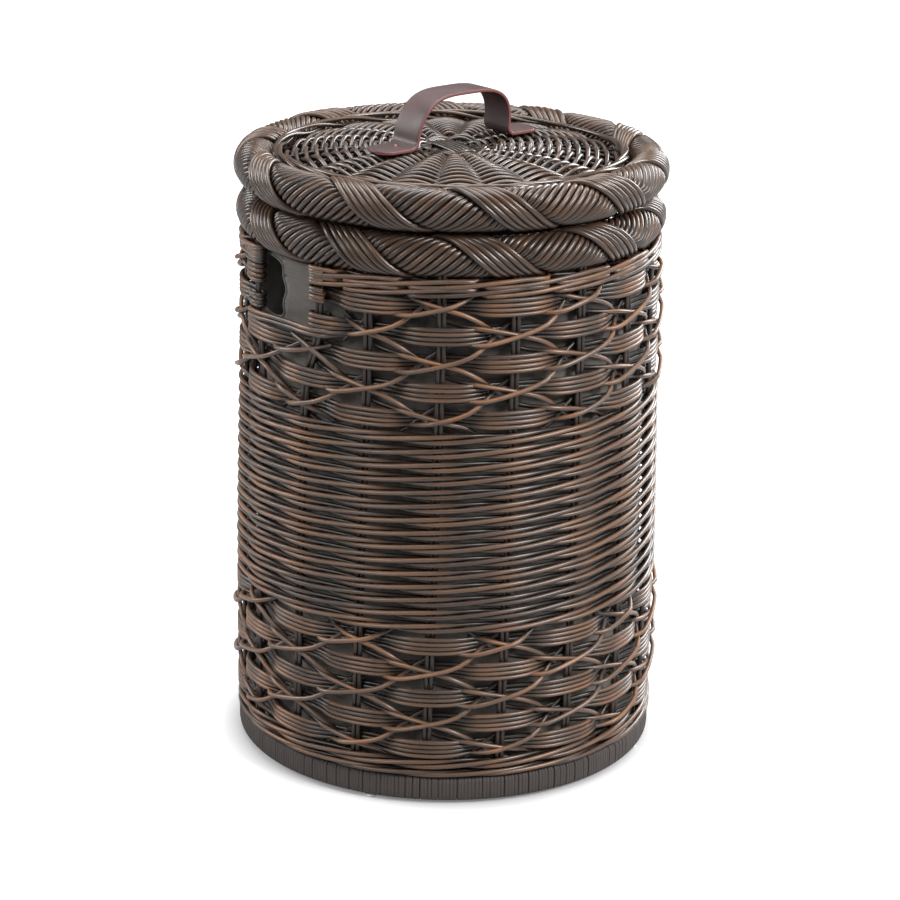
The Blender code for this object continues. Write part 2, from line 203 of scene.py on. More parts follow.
class Nodes:
    """A node tree being put together node by node."""

    def add(self, kind, inputs=None, **settings):
        node = self.tree.nodes.new(kind)
        for key, value in settings.items():
            setattr(node, key, value)
        for key, value in (inputs or {}).items():
            if isinstance(value, bpy.types.NodeSocket):
                self.tree.links.new(value, node.inputs[key])
            else:
                node.inputs[key].default_value = value
        return node


# Materials.


class Recipe(Nodes):
    """A material being put together."""

    def __init__(self, name):
        self.material = bpy.data.materials.new(name)
        self.material.use_nodes = True
        self.tree = self.material.node_tree
        self.tree.nodes.clear()
        self.out = self.add("ShaderNodeOutputMaterial")

    def where(self):
        return self.add("ShaderNodeTexCoord").outputs["Object"]

    def part(self, vector, axis):
        return self.add("ShaderNodeSeparateXYZ", {0: vector}).outputs[axis]

    def attribute(self, name, output="Fac"):
        return self.add("ShaderNodeAttribute", attribute_name=name).outputs[output]

    def noise(self, where, scale, detail=3.0, roughness=0.55):
        inputs = {"Vector": where, "Scale": scale, "Detail": detail, "Roughness": roughness}
        return self.add("ShaderNodeTexNoise", inputs).outputs["Fac"]

    def stretched(self, where, scale):
        return self.add("ShaderNodeMapping", {"Vector": where, "Scale": scale}).outputs["Vector"]

    def fit(self, value, low, high, to_low=0.0, to_high=1.0):
        inputs = {"Value": value, "From Min": low, "From Max": high, "To Min": to_low, "To Max": to_high}
        return self.add("ShaderNodeMapRange", inputs).outputs["Result"]

    def maths(self, operation, a, b):
        return self.add("ShaderNodeMath", {0: a, 1: b}, operation=operation).outputs[0]

    def blend(self, share, a, b, kind="MIX"):
        node = self.add("ShaderNodeMix", data_type="RGBA", blend_type=kind)
        for socket, value in ((node.inputs[0], share), (node.inputs[6], a), (node.inputs[7], b)):
            if isinstance(value, bpy.types.NodeSocket):
                self.tree.links.new(value, socket)
            else:
                socket.default_value = (*value, 1) if hasattr(value, "__len__") else value
        return node.outputs[2]

    def bump(self, height, strength, distance):
        inputs = {"Height": height, "Strength": strength, "Distance": distance}
        return self.add("ShaderNodeBump", inputs).outputs["Normal"]

    def finish(self, base, rough, normal=None, more=None):
        inputs = {"Base Color": base, "Roughness": rough, **(more or {})}
        if normal is not None:
            inputs["Normal"] = normal
        shader = self.add("ShaderNodeBsdfPrincipled", inputs)
        self.tree.links.new(shader.outputs["BSDF"], self.out.inputs["Surface"])
        return self.material


def cane_material(name, warmth=1.0, lightness=1.06, rough=0.42, coat=0.3):
    """Stained cane: each strand its own shade, streaks along it, with painted shade where it is tucked
    behind and on its underside, and its top painted a little lighter.
    """
    c = colours()
    r = Recipe(name)
    grain = r.attribute("grain", "Vector")
    tint = r.attribute("tint")
    where = r.where()
    streak = r.noise(r.stretched(grain, (420, 420, 9)), 1.0, 4)
    fleck = r.noise(r.stretched(grain, (900, 900, 60)), 1.0, 2)
    patch = r.noise(where, 26, 2)
    broad = r.noise(where, 7, 2)
    base = r.blend(r.fit(tint, 0.0, 0.75), c.cane_dark, c.cane_mid)
    worn = r.maths("MULTIPLY", r.fit(streak, 0.40, 0.64), r.fit(patch, 0.34, 0.58))
    worn = r.maths("MULTIPLY", worn, r.fit(tint, 0.15, 0.8, 0.25 * warmth, warmth))
    base = r.blend(worn, base, c.cane_warm)
    dry = r.maths("MULTIPLY", r.fit(fleck, 0.50, 0.72), r.fit(broad, 0.40, 0.62, 0.10, 0.5))
    base = r.blend(dry, base, c.cane_grey)
    # Painted shade: the deeper a cane lies behind the stakes, the darker it is painted.
    shade = r.fit(r.attribute("depth"), 0.0, 1.0, lightness, 0.16 * lightness)
    # Painted light and shade: faces turned down are painted darker and faces turned up a little lighter, as
    # if lit from above.
    facing = r.part(r.add("ShaderNodeNewGeometry").outputs["Normal"], 2)
    shade = r.maths("MULTIPLY", shade, r.fit(facing, -0.7, 0.5, 0.34, 1.12))
    shade = r.add("ShaderNodeCombineColor", {0: shade, 1: shade, 2: shade}).outputs[0]
    base = r.blend(1.0, base, shade, "MULTIPLY")
    gloss = {"Specular IOR Level": 0.6, "Coat Weight": coat, "Coat Roughness": 0.22}
    rough = r.fit(streak, 0.3, 0.7, rough - 0.10, rough + 0.12)
    return r.finish(base, rough, r.bump(streak, 0.35, 0.0004), gloss)


def wood_material(name):
    """Plain split cane and wood of the cores, the bars and the hoop, with a grain in rings and streaks."""
    c = colours()
    r = Recipe(name)
    where = r.where()
    streak = r.noise(r.stretched(where, (60, 60, 420)), 1.0, 4)
    patch = r.noise(where, 20, 3)
    base = r.blend(r.fit(streak, 0.35, 0.65), c.cane_dark, c.cane_mid)
    base = r.blend(r.fit(patch, 0.45, 0.70, 0.0, 0.6), base, c.cane_grey)
    rough = r.fit(streak, 0.3, 0.7, 0.45, 0.65)
    return r.finish(base, rough, r.bump(streak, 0.3, 0.0004), {"Specular IOR Level": 0.4})


def peel_material(name):
    """Flat peel, dark, with a fine grain across the foot and darker joins."""
    c = colours()
    r = Recipe(name)
    where = r.where()
    fine = r.noise(r.stretched(where, (260, 260, 30)), 1.0, 3)
    patch = r.noise(where, 18, 2)
    base = r.blend(r.fit(r.attribute("tint"), 0, 1), times(0.6, c.peel), times(1.35, c.peel))
    base = r.blend(r.fit(patch, 0.45, 0.7, 0, 0.5), base, c.cane_mid)
    base = r.blend(r.fit(fine, 0.52, 0.75, 0, 0.35), base, c.cane_grey)
    rough = r.fit(fine, 0.3, 0.7, 0.42, 0.60)
    return r.finish(base, rough, r.bump(fine, 0.3, 0.0003))


def cloth_material(name):
    """Plain woven cotton: threads over and under in both directions, with painted shade from a little below
    the hand holes upwards.
    """
    c = colours()
    r = Recipe(name)
    flat = r.add("ShaderNodeUVMap", uv_map="UVMap").outputs["UV"]
    thread = {"Vector": flat, "Scale": 240.0, "Distortion": 0.6, "Detail": 1.0}
    warp, weft = (r.add("ShaderNodeTexWave", thread, bands_direction=way).outputs["Fac"] for way in "XY")
    weave = r.maths("MULTIPLY", warp, weft)
    slub = r.noise(r.stretched(flat, (40, 900, 1)), 1.0, 2)
    patch = r.noise(r.where(), 30, 2)
    base = r.blend(r.fit(weave, 0, 1), times(0.72, c.cloth), times(1.3, c.cloth))
    base = r.blend(r.fit(slub, 0.45, 0.7, 0, 0.35), base, times(1.5, c.cloth))
    base = r.blend(r.fit(patch, 0.4, 0.7, 0, 0.25), base, c.cane_dark)
    # Painted shade: the cloth is painted darker from a little below the hand holes upwards.
    base = r.blend(r.fit(r.part(r.where(), 2), 0.425, 0.475, 0.0, 0.52), base, (0, 0, 0))
    soft = {"Sheen Weight": 0.25, "Sheen Roughness": 0.5, "Specular IOR Level": 0.2}
    return r.finish(base, 0.92, r.bump(weave, 0.4, 0.0005), soft)


def leather_material(name):
    """Smooth leather with fine pores, rubbed lighter here and there, and raw cut edges."""
    c = colours()
    r = Recipe(name)
    where = r.where()
    pores = r.add("ShaderNodeTexVoronoi", {"Vector": where, "Scale": 900.0}).outputs["Distance"]
    rub = r.noise(where, 22, 3)
    crease = r.noise(where, 140, 4, 0.6)
    base = r.blend(r.fit(rub, 0.35, 0.7, 0, 0.55), c.leather, times(1.8, c.leather))
    base = r.blend(r.fit(crease, 0.55, 0.75, 0, 0.4), base, times(0.5, c.leather))
    base = r.blend(r.fit(r.attribute("edge"), 0.35, 0.75), base, c.leather_edge)
    height = r.maths("ADD", r.maths("MULTIPLY", pores, 0.5), crease)
    return r.finish(base, r.fit(rub, 0.3, 0.7, 0.38, 0.56), r.bump(height, 0.35, 0.0004))


def metal_material(name):
    """Dull antique metal, brighter where it is rubbed."""
    r = Recipe(name)
    where = r.where()
    spots = r.noise(where, 600, 3)
    base = r.blend(r.fit(spots, 0.35, 0.7, 0, 0.7), colours().metal, times(0.45, colours().metal))
    rough = r.fit(spots, 0.3, 0.7, 0.30, 0.55)
    return r.finish(base, rough, r.bump(spots, 0.2, 0.0002), {"Metallic": 0.9})


def glide_material(name):
    """Clear soft plastic, slightly clouded."""
    r = Recipe(name)
    cloud = r.noise(r.where(), 300, 2)
    clear = {"Transmission Weight": 0.15, "IOR": 1.45}
    return r.finish((*colours().glide, 1), r.fit(cloud, 0.3, 0.7, 0.12, 0.35), None, clear)


def floor_material(name):
    """Pale floor that stays white to the eye, but for a painted shadow in its glow under the basket and
    close to its foot.
    """
    r = Recipe(name)
    seen = r.add("ShaderNodeLightPath").outputs["Is Camera Ray"]
    out = r.add("ShaderNodeVectorMath", {0: r.where()}, operation="LENGTH").outputs["Value"]
    glow = r.fit(out, 0.3, 1.3, 0.74, 1.0)
    # Painted shadow: the glow is cut under the basket and dimmed close to its foot.
    glow = r.maths("MULTIPLY", glow, r.fit(out, 0.170, 0.205, 0.0, 0.25))
    glow = r.maths("MULTIPLY", glow, r.fit(out, 0.214, 0.248, 1.0, 4.0))
    return r.finish((0.55, 0.55, 0.55, 1), 0.8, None, {
        "Specular IOR Level": 0.1,
        "Emission Color": (1, 1, 1, 1),
        "Emission Strength": r.maths("MULTIPLY", seen, glow),
    })


RECIPES = {
    "weaving_cane": cane_material,
    "stake_cane": lambda name: cane_material(name, warmth=0.35, lightness=0.55, rough=0.5),
    "border_cane": lambda name: cane_material(name, warmth=0.5, lightness=0.69, rough=0.38),
    "lid_cane": lambda name: cane_material(name, warmth=0.42, lightness=0.57, rough=0.32, coat=0.6),
    "core_wood": wood_material,
    "foot_peel": peel_material,
    "liner_cotton": cloth_material,
    "strap_leather": leather_material,
    "fixing_metal": metal_material,
    "glide_plastic": glide_material,
    "stage_floor": floor_material,
}


def finish(name):
    """The material of that name, made the first time it is asked for."""
    return bpy.data.materials.get(name) or RECIPES[name](name)


# Geometry Nodes trees.


class Tree(Nodes):
    """A Geometry Nodes tree being put together, with named inputs."""

    def __init__(self, name, inputs):
        self.tree = bpy.data.node_groups.new(name, "GeometryNodeTree")
        face = self.tree.interface
        face.new_socket("Geometry", in_out="INPUT", socket_type="NodeSocketGeometry")
        for label, kind, default in inputs:
            socket = face.new_socket(label, in_out="INPUT", socket_type=kind)
            if default is not None:
                socket.default_value = default
        face.new_socket("Geometry", in_out="OUTPUT", socket_type="NodeSocketGeometry")
        self.start = self.tree.nodes.new("NodeGroupInput").outputs
        self.end = self.tree.nodes.new("NodeGroupOutput").inputs

    def capture(self, geometry, kind, label, value):
        node = self.tree.nodes.new("GeometryNodeCaptureAttribute")
        node.capture_items.new(kind, label)
        self.tree.links.new(geometry, node.inputs[0])
        self.tree.links.new(value, node.inputs[1])
        return node.outputs[0], node.outputs[1]

    def random(self, seed, limits=None):
        """A random number for each copy, from 0 to 1 or between limits (inputs 2 and 3)."""
        node = self.add("FunctionNodeRandomValue", {**(limits or {}), "Seed": seed}, data_type="FLOAT")
        return node.outputs[1]

    def store(self, geometry, name, value, kind, domain):
        inputs = {"Geometry": geometry, "Name": name, "Value": value}
        node = self.add("GeometryNodeStoreNamedAttribute", inputs, data_type=kind, domain=domain)
        return node.outputs[0]

    def close(self, geometry):
        """Shades smooth, makes every copy real and gives the material, which is where a tree ends."""
        smooth = self.add("GeometryNodeSetShadeSmooth", {"Geometry": geometry})
        real = self.add("GeometryNodeRealizeInstances", {"Geometry": smooth.outputs[0]})
        finished = {"Geometry": real.outputs[0], "Material": self.start["Finish"]}
        dressed = self.add("GeometryNodeSetMaterial", finished)
        self.tree.links.new(dressed.outputs[0], self.end["Geometry"])
        return self.tree


def cane_tree():
    """Each line of the input mesh becomes a round cane, thick as its girth says."""
    name = "cane_along_lines"
    if name in bpy.data.node_groups:
        return bpy.data.node_groups[name]
    t = Tree(name, [
        ("Cane diameter", "NodeSocketFloat", 0.005),
        ("Sides", "NodeSocketInt", 8),
        ("Finish", "NodeSocketMaterial", None),
    ])
    lines = t.add("GeometryNodeMeshToCurve", {"Mesh": t.start["Geometry"]})
    girth = t.add("GeometryNodeInputNamedAttribute", {"Name": "girth"}, data_type="FLOAT")
    sized = t.add("GeometryNodeSetCurveRadius", {"Curve": lines.outputs[0], "Radius": girth.outputs[0]})
    run = t.add("GeometryNodeSplineParameter")
    line, along = t.capture(sized.outputs[0], "FLOAT", "along", run.outputs["Length"])
    radius = t.add("ShaderNodeMath", {0: t.start["Cane diameter"], 1: 0.5}, operation="MULTIPLY")
    outline = {"Resolution": t.start["Sides"], "Radius": radius.outputs[0]}
    ring = t.add("GeometryNodeCurvePrimitiveCircle", outline)
    place = t.add("GeometryNodeInputPosition")
    profile, around = t.capture(ring.outputs[0], "VECTOR", "around", place.outputs[0])
    skin = t.add("GeometryNodeCurveToMesh", {"Curve": line, "Profile Curve": profile, "Fill Caps": True})
    parts = t.add("ShaderNodeSeparateXYZ", {0: around})
    grain = t.add("ShaderNodeCombineXYZ", {0: parts.outputs[0], 1: parts.outputs[1], 2: along})
    return t.close(t.store(skin.outputs[0], "grain", grain.outputs[0], "FLOAT_VECTOR", "POINT"))


def repeat_tree():
    """Copies of the input mesh turned round the Z axis, each with its own shade and a slightly uneven turn.
    """
    t = Tree("copies_round_axis", [
        ("Copies", "NodeSocketInt", 4),
        ("First angle", "NodeSocketFloat", 0.0),
        ("Unevenness", "NodeSocketFloat", 0.0),
        ("Seed", "NodeSocketInt", 1),
        ("Finish", "NodeSocketMaterial", None),
    ])
    points = t.add("GeometryNodePoints", {"Count": t.start["Copies"]})
    index = t.add("GeometryNodeInputIndex")
    share = t.add("ShaderNodeMath", {0: index.outputs[0], 1: t.start["Copies"]}, operation="DIVIDE")
    turn = {0: share.outputs[0], 1: math.tau, 2: t.start["First angle"]}
    turn = t.add("ShaderNodeMath", turn, operation="MULTIPLY_ADD")
    minus = t.add("ShaderNodeMath", {0: t.start["Unevenness"], 1: -1.0}, operation="MULTIPLY")
    stray = t.random(t.start["Seed"], {2: minus.outputs[0], 3: t.start["Unevenness"]})
    whole = t.add("ShaderNodeMath", {0: turn.outputs[0], 1: stray}, operation="ADD")
    turned = t.add("ShaderNodeCombineXYZ", {2: whole.outputs[0]})
    copies = t.add(
        "GeometryNodeInstanceOnPoints",
        {"Points": points.outputs[0], "Instance": t.start["Geometry"], "Rotation": turned.outputs[0]},
    )
    more = t.add("FunctionNodeHashValue", {0: t.start["Seed"]}, data_type="INT")
    shade = t.random(more.outputs[0])
    return t.close(t.store(copies.outputs[0], "tint", shade, "FLOAT", "INSTANCE"))


def new_object(name, mesh):
    obj = bpy.data.objects.new(name, mesh)
    bpy.context.scene.collection.objects.link(obj)
    return obj


def through_tree(obj, tree, values):
    """Runs the tree on the object with these inputs, and leaves the result as its plain mesh."""
    modifier = obj.modifiers.new(tree.name, "NODES")
    modifier.node_group = tree
    for socket in tree.interface.items_tree:
        if socket.in_out == "INPUT" and socket.name in values:
            modifier[socket.identifier] = values[socket.name]
    bpy.context.view_layer.update()
    graph = bpy.context.evaluated_depsgraph_get()
    made = obj.evaluated_get(graph)
    mesh = bpy.data.meshes.new_from_object(made, preserve_all_data_layers=True, depsgraph=graph)
    old = obj.data
    obj.modifiers.clear()
    obj.data = mesh
    mesh.name = obj.name
    bpy.data.meshes.remove(old)
    if not mesh.polygons:
        raise RuntimeError(f"{obj.name} came out empty")
    return obj


def canes(name, strands, diameter, finish_name, body, slot, replaced=(), sides=8):
    """One piece of many canes, swept along their centrelines and settled on its body."""
    points, edges, values = [], [], {"tint": [], "girth": [], "depth": []}
    for s in strands:
        first, n = len(points), len(s.points)
        points.extend(s.points.tolist())
        edges.extend((first + i, first + i + 1) for i in range(n - 1))
        if s.closed:
            edges.append((first + n - 1, first))
        values["tint"].extend([s.tint] * n)
        values["girth"].extend([s.girth] * n)
        values["depth"].extend(s.depth.tolist())
    mesh = bpy.data.meshes.new(name)
    mesh.from_pydata(points, edges, [])
    for key, numbers in values.items():
        mesh.attributes.new(key, "FLOAT", "POINT").data.foreach_set("value", np.asarray(numbers, np.float32))
    wanted = {"Cane diameter": diameter, "Sides": sides, "Finish": finish(finish_name)}
    return settle(through_tree(new_object(name, mesh), cane_tree(), wanted), body, replaced)


@contextmanager
def edited(mesh):
    """The mesh opened for editing, and written back after."""
    work = bmesh.new()
    work.from_mesh(mesh)
    yield work
    work.to_mesh(mesh)
    work.free()


def grid_mesh(name, points, closed_u=False, closed_v=False, ends=True, attributes=None):
    """A mesh from a grid of points, points[u][v], with its open v-loops' ends filled in."""
    points = np.asarray(points, float)
    nu, nv = points.shape[:2]
    faces = []
    for i in range(nu if closed_u else nu - 1):
        for j in range(nv if closed_v else nv - 1):
            a, b = (i + 1) % nu, (j + 1) % nv
            faces.append((i * nv + j, i * nv + b, a * nv + b, a * nv + j))
    if ends and closed_v and not closed_u:
        faces.append(tuple(range(nv)))
        faces.append(tuple((nu - 1) * nv + j for j in reversed(range(nv))))
    mesh = bpy.data.meshes.new(name)
    mesh.from_pydata(points.reshape(-1, 3).tolist(), [], faces)
    for key, numbers in (attributes or {}).items():
        numbers = np.broadcast_to(numbers, (nu, nv)).astype(np.float32).ravel()
        mesh.attributes.new(key, "FLOAT", "POINT").data.foreach_set("value", numbers)
    with edited(mesh) as work:
        bmesh.ops.recalc_face_normals(work, faces=work.faces)
    mesh.shade_smooth()
    return mesh


def turned(name, profile, steps, centre=(0, 0)):
    """A piece turned from a closed profile of (radius, height), round a vertical axis."""
    angles = np.radians(np.arange(steps) * 360 / steps)
    r, z = np.asarray(profile, float).T
    x = centre[0] + np.outer(np.cos(angles), r)
    y = centre[1] + np.outer(np.sin(angles), r)
    points = np.stack([x, y, np.broadcast_to(z, x.shape)], -1)
    return new_object(name, grid_mesh(name, points, True, True))


def rounded_loop(x_low, x_high, z_low, z_high, corner, steps=4):
    """A closed outline of a rectangle with rounded corners, as (x, z) pairs."""
    loop = []
    corners = ((x_high, z_high, 0), (x_low, z_high, 90), (x_low, z_low, 180), (x_high, z_low, 270))
    for x, z, start in corners:
        cx = x - corner if x == x_high else x + corner
        cz = z - corner if z == z_high else z + corner
        for a in np.radians(start + np.linspace(0, 90, steps)):
            loop.append((cx + corner * math.cos(a), cz + corner * math.sin(a)))
    return loop


def settle(obj, body, replaced=(), material=None):
    """Puts a piece on its body, gives it a material if one is named, and hides the CAD nodes that it stands
    for.
    """
    if material:
        obj.data.materials.clear()
        obj.data.materials.append(finish(material))
    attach(obj, body)
    if replaced:
        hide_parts(*replaced)
    return obj


def wander(rng, n, size, waves=3):
    """A slow wobble along n points, the same at both ends."""
    t = np.linspace(0, math.tau, n, endpoint=False)
    out = np.zeros(n)
    for k in range(1, waves + 1):
        out += rng.normal() / k * np.sin(k * rng.integers(1, 4) * t + rng.uniform(0, math.tau))
    return size * out / waves


def shade_of(rng, low=0.15, high=0.95):
    return float(rng.uniform(low, high))


def girth_of(rng, spread=0.04):
    return float(rng.normal(1, spread))


def depth_of(proud, front=0.0046, fall=0.0062):
    """0 for a cane at the front of the weaving, 1 for one behind the stakes; the cane finish paints shade by
    it.
    """
    return smoothstep((front - np.asarray(proud)) / fall)


# The weaves of the wall.


def arcs_at(level):
    """The stretches of wall, in stakes, that a round runs over: all of it, or up to the holes."""
    if level < HOLE_LEVEL:
        return [(0.0, float(STAKES), True)]
    return [(0.0, 8.0, False), (9.0, 17.0, False)]


def hooked(place, z, proud, hook=0.0078, tail=0.013):
    """A cane's run between two border stakes, with its ends turned back round them."""
    ends = []
    for end, way in ((0, -1), (-1, 1)):
        metres = wall_radius(z[end]) * math.radians(STAKE_PITCH)
        a = np.radians(np.linspace(12, 180, 9))
        s = np.concatenate([way * hook * np.sin(a), -way * np.linspace(0.3, 1, 3) * tail])
        p = np.concatenate([proud[end] * np.cos(a), np.full(3, -proud[end])])
        s, p = (s[::-1], p[::-1]) if end == 0 else (s, p)
        ends.append((place[end] + s / metres, np.full(len(s), z[end]), p))
    (p0, z0, r0), (p1, z1, r1) = ends
    return np.concatenate([p0, place, p1]), np.concatenate([z0, z, z1]), np.concatenate([r0, proud, r1])


def wale_round(level, rng, lift=0.0032, per_stake=10):
    """A round of three-rod wale: each cane passes before two stakes and behind one, rising as it goes."""
    out = []
    for rod in range(3):
        tint, girth = shade_of(rng), girth_of(rng)
        for first, last, closed in arcs_at(level):
            n = int((last - first) * per_stake)
            place = first + np.arange(n if closed else n + 1) / per_stake
            turn = math.tau * (place - rod - 0.5) / 3
            proud = STAKE_REACH * (0.333 + 1.05 * np.cos(turn) - 0.283 * np.cos(2 * turn))
            z = level + lift * np.sin(turn) + wander(rng, len(place), 0.0005)
            proud = proud + wander(rng, len(place), 0.0003)
            if not closed:
                clear = np.where(np.abs(proud) < 0.004, STAKE_REACH * np.sign(proud + 1e-6), proud)
                place, z, proud = hooked(place, z, clear)
            # Painted shade: a steeper fall, so the canes going in and out behind the front cane are painted
            # dark.
            depth = depth_of(proud, 0.0053, 0.0046)
            out.append(Strand(on_wall(place, z, proud), closed, tint, girth, depth))
    return out


def row_strands(level, over_odd, rng, canes_in_row, cane, per_stake=9):
    """One row of the lattice bands: canes side by side, over one stake pair and under the next."""
    out = []
    for k in range(canes_in_row):
        tint, girth = shade_of(rng, 0.2, 1.0), girth_of(rng)
        offset = k - (canes_in_row - 1) / 2
        for first, last, closed in arcs_at(level):
            n = int((last - first) * per_stake)
            place = first + np.arange(n if closed else n + 1) / per_stake
            swing = np.cos(math.pi * (place - (1 if over_odd else 0)))
            swing = np.tanh(1.5 * swing) / math.tanh(1.5)
            behind = (1 - swing) / 2
            proud = (STAKE_REACH + 0.0006) * swing + behind * (0.0005 + 0.0009 * (-1) ** k)
            proud = proud + wander(rng, len(place), 0.0002)
            spread = cane * (1.07 - 0.24 * behind)
            z = level + offset * spread + wander(rng, len(place), 0.0005)
            if not closed:
                place, z, proud = hooked(place, z, proud)
            out.append(Strand(on_wall(place, z, proud), closed, tint, girth, depth_of(proud)))
    return out


def crossing_strands(levels, parity, rng, per_stake=9):
    """Pairs of slanting canes that climb one row for each stake, one pair rightwards and one leftwards."""
    out = []
    pitch = (levels[-1] - levels[0]) / (len(levels) - 1)
    reach = len(levels) - 0.5
    for way, front in ((1, 0.0100), (-1, 0.0056)):
        for column in range(parity, STAKES + parity, 2):
            for rod in (0, 1):
                climb = np.linspace(-0.5, reach, int((reach + 0.5) * per_stake) + 1)
                place = column + way * climb
                turn = math.pi * (climb - rod)
                fore = (1 + np.cos(turn)) / 2
                proud = -STAKE_REACH + (front + STAKE_REACH) * smoothstep(1.45 * fore)
                z = levels[0] + pitch * climb - 0.0028 * np.sin(turn)
                z = z + way * 0.0125 * (1 - fore) ** 2 + wander(rng, len(climb), 0.0006)
                tuck = np.minimum(smoothstep((climb + 0.5) / 0.45), smoothstep((reach - climb) / 0.45))
                proud = np.minimum(proud, -0.004 + (proud + 0.004) * tuck)
                tint, girth = shade_of(rng, 0.60, 1.0), girth_of(rng)
                at = np.mod(place + 0.5, STAKES)
                near = np.minimum(np.minimum(at, STAKES - at), np.abs(at - STAKES // 2))
                keep = ~((near < 1.0) & (z > HOLE_LEVEL - 0.012))
                changes = np.where(np.diff(keep.astype(int)) != 0)[0] + 1
                for run in np.split(np.arange(len(climb)), changes):
                    if not keep[run[0]] or len(run) < 6:
                        continue
                    r = proud[run].copy()
                    starts_cut, ends_cut = run[0] > 0, run[-1] < len(climb) - 1
                    for end, cut in ((slice(0, 5), starts_cut), (slice(-1, -6, -1), ends_cut)):
                        if cut:
                            r[end] = np.minimum(r[end], np.linspace(-0.004, r[end][-1], 5))
                    out.append(Strand(on_wall(place[run], z[run], r), False, tint, girth, depth_of(r)))
    return out


def sill_strands(rng, per_stake=12):
    """Two canes along the lower edge of each hand hole, laid over the stakes that border it."""
    out = []
    for hole in (8.5, 17.5):
        for drop in (0.0030, 0.0078):
            place = hole + np.linspace(-1.05, 1.05, 2 * per_stake + 1)
            side = np.abs(place - hole)
            proud = 0.0006 + 0.0052 * smoothstep((side - 0.10) / 0.35)
            proud = proud - 0.0100 * smoothstep((side - 0.68) / 0.3)
            z = HOLE_LEVEL - drop + 0.0045 * (place - hole) + 0.0015 + wander(rng, len(place), 0.0006)
            tint = shade_of(rng, 0.3, 0.9)
            out.append(Strand(on_wall(place, z, proud), False, tint, 1.0, depth_of(proud)))
    return out


class BASKET_OT_stakes(bpy.types.Operator):
    """Eighteen pairs of upright canes, from the foot up into the border."""

    bl_idname = "basket.stakes"
    bl_label = "Stakes"

    def execute(self, context):
        rng = np.random.default_rng(11)
        cane = sizes().stake_cane
        z = np.linspace(FOOT_HIGH.z + 0.0004, BODY_ROLL_LOW.z + 0.012, 44)
        for k in range(STAKES):
            strands = []
            for side in (-1, 1):
                centre = wall_radius(z) - STAKE_INSET
                aside = np.degrees(side * cane * 0.53 / centre)
                points = round_axis(centre, stake_angle(float(k), z) + aside, z)
                # Painted shade: the stakes carry a quarter of the full painted shade.
                strands.append(Strand(points, False, shade_of(rng, 0.1, 0.6), 1.0, 0.25))
            name = f"stake_pair_{k + 1:02d}"
            canes(f"stake_canes_{k + 1:02d}", strands, cane, "stake_cane", "basket", "dark_cane", [name])
        return {"FINISHED"}


class BASKET_OT_wales(bpy.types.Operator):
    """Rounds of three-rod wale: at the foot, through the middle and under the border."""

    bl_idname = "basket.wales"
    bl_label = "Wales"

    def execute(self, context):
        cane = sizes().wale_cane
        rng = np.random.default_rng(21)
        low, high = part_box("lower_wale")
        strands = wale_round(low.z + 0.0034, rng, lift=0.0014) + wale_round(high.z - 0.0047, rng)
        parts = {"lower_wale": strands}
        low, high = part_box("middle_wale")
        pitch = (high.z - low.z) / sizes().wale_rounds
        levels = low.z + pitch * (0.5 + np.arange(sizes().wale_rounds))
        parts["middle_wale"] = [s for level in levels for s in wale_round(level, rng)]
        low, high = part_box("upper_wale_rear")
        strands = wale_round(low.z + 0.0027, rng) + wale_round(high.z + 0.0005, rng)
        parts["upper_wale_rear"] = [s for s in strands if s.points[len(s.points) // 2][1] > 0]
        parts["upper_wale_front"] = [s for s in strands if s.points[len(s.points) // 2][1] <= 0]
        for name, part in parts.items():
            canes(name + "_canes", part, cane, "weaving_cane", "basket", "woven_cane", [name])
        return {"FINISHED"}


class BASKET_OT_lattice(bpy.types.Operator):
    """Two bands of rows, four canes to a row, under slanting canes that cross at the stakes."""

    bl_idname = "basket.lattice"
    bl_label = "Lattice bands"

    def execute(self, context):
        s = sizes()
        rng = np.random.default_rng(31)
        where = ["basket", "woven_cane"]
        for node, first_over_odd, parity in (
            ("lower_lattice_band", True, 0),
            ("upper_lattice_band", False, 1),
        ):
            low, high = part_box(node)
            pitch = (high.z - low.z) / ROWS_IN_BAND
            levels = (low.z + high.z) / 2 + pitch * (np.arange(LATTICE_ROWS) - LATTICE_ROWS // 2)
            strands = []
            for i, level in enumerate(levels):
                over_odd = first_over_odd == (i % 2 == 0)
                strands += row_strands(level, over_odd, rng, s.row_canes, s.row_cane)
            canes(node + "_rows", strands, s.row_cane, "weaving_cane", *where, [node], sides=7)
            if high.z > HOLE_LEVEL:
                sills = sill_strands(rng)
                canes("hand_hole_sill_canes", sills, s.cross_cane, "weaving_cane", *where, [node])
            slants = crossing_strands(levels, parity, rng)
            canes(node + "_crossing_canes", slants, s.cross_cane, "weaving_cane", *where, [node])
        return {"FINISHED"}


# The rolled borders.


